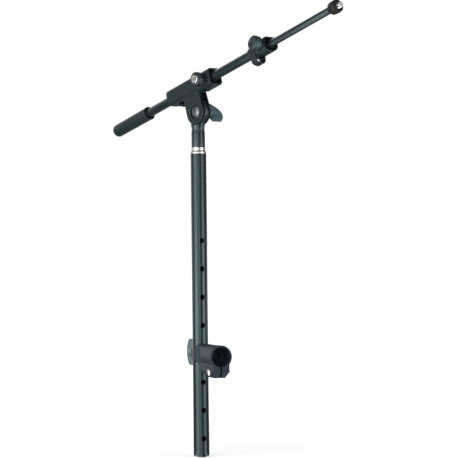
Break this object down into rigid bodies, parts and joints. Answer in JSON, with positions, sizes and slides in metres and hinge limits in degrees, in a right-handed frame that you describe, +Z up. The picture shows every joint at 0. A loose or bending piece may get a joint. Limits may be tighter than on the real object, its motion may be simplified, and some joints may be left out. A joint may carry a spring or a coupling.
{
  "type": "boom microphone stand",
  "caption": "Telescopic boom arm with tilting cradle on a drilled mast, with a pinch clamp socket that fits over a 30 mm tube.",
  "frame": {"origin": "centre of the clamp socket's mouth, on the socket's axis", "axes": "+Z up along the mast; the socket opens towards -Y, and the mast stands behind it at +Y"},
  "size_m": [0.1907, 0.5257, 0.6947],
  "materials": {
    "powder_coated_tube": "semi-gloss black powder coat",
    "cast_black": "satin black coated die casting",
    "moulded_black": "fine textured black moulding",
    "grip_rubber": "smooth satin",
    "nickel": "bright nickel plate",
    "zinc_steel": "zinc plated",
    "blackened_steel": "blackened",
    "friction_fibre": "pressed fibre"
  },
  "bodies": {
    "stand_clamp": {"stand_clamp_body": "cast_black", "clamp_pinch_screw": "nickel", "clamp_pinch_nut": "nickel", "lock_bolt": "blackened_steel", "lock_saddle_block": "cast_black", "lock_washer": "zinc_steel", "mast_tube": "powder_coated_tube", "mast_end_cap": "moulded_black", "mast_top_plug": "zinc_steel", "mast_top_ring": "nickel"},
    "lock_wing": {"lock_wing_nut": "moulded_black"},
    "head": {"head_shank": "powder_coated_tube", "head_insert": "zinc_steel", "head_post": "cast_black", "friction_disc_front": "friction_fibre", "friction_disc_rear": "friction_fibre"},
    "cradle": {"boom_cradle": "cast_black", "pivot_bolt": "blackened_steel", "pivot_washer": "zinc_steel", "boom_clamp_bush": "moulded_black"},
    "pivot_wing": {"pivot_wing_nut": "moulded_black"},
    "cradle_knob": {"boom_knob": "moulded_black", "boom_knob_screw": "zinc_steel", "boom_knob_cap": "nickel"},
    "boom": {"boom_tube_outer": "powder_coated_tube", "boom_rear_plug": "moulded_black", "rear_grip": "grip_rubber", "tele_clamp_body": "cast_black", "tele_clamp_bush": "moulded_black"},
    "telescope_knob": {"tele_knob": "moulded_black", "tele_knob_screw": "zinc_steel"},
    "boom_extension": {"boom_tube_inner": "powder_coated_tube", "boom_tip_stud": "nickel"},
    "tip_nut": {"stop_nut": "blackened_steel"}
  },
  "joints": [
    {"name": "lock_wing_turn", "type": "hinge", "parent": "stand_clamp", "child": "lock_wing", "pos_m": [0, 0.1151, 0], "axis": [0, 1, 0], "continuous": true},
    {"name": "head_swivel", "type": "hinge", "parent": "stand_clamp", "child": "head", "pos_m": [0, 0.092, 0.3283], "axis": [0, 0, 1], "range_deg": [-180, 180]},
    {"name": "boom_tilt", "type": "hinge", "parent": "head", "child": "cradle", "pos_m": [0.0007, 0.08991, 0.385], "axis": [-0.9483, -0.3173, 0], "range_deg": [-91, 52]},
    {"name": "pivot_wing_turn", "type": "hinge", "parent": "cradle", "child": "pivot_wing", "pos_m": [0.0007, 0.08991, 0.385], "axis": [0.9483, 0.3173, 0], "continuous": true},
    {"name": "boom_slide", "type": "slide", "parent": "cradle", "child": "boom", "axis": [0.305, -0.9116, 0.2756], "range_m": [-0.09, 0.055]},
    {"name": "cradle_knob_turn", "type": "hinge", "parent": "cradle", "child": "cradle_knob", "pos_m": [0.00809, 0.06781, 0.43434], "axis": [-0.9483, -0.3173, 0], "continuous": true},
    {"name": "telescope_knob_turn", "type": "hinge", "parent": "boom", "child": "telescope_knob", "pos_m": [0.05262, -0.06528, 0.47458], "axis": [-0.9458, -0.256, 0.1999], "continuous": true},
    {"name": "boom_extend", "type": "slide", "parent": "boom", "child": "boom_extension", "axis": [0.305, -0.9116, 0.2756], "range_m": [-0.13, 0.165]},
    {"name": "tip_nut_turn", "type": "hinge", "parent": "boom_extension", "child": "tip_nut", "pos_m": [0.10448, -0.22025, 0.52144], "axis": [0.305, -0.9116, 0.2756], "continuous": true}
  ]
}
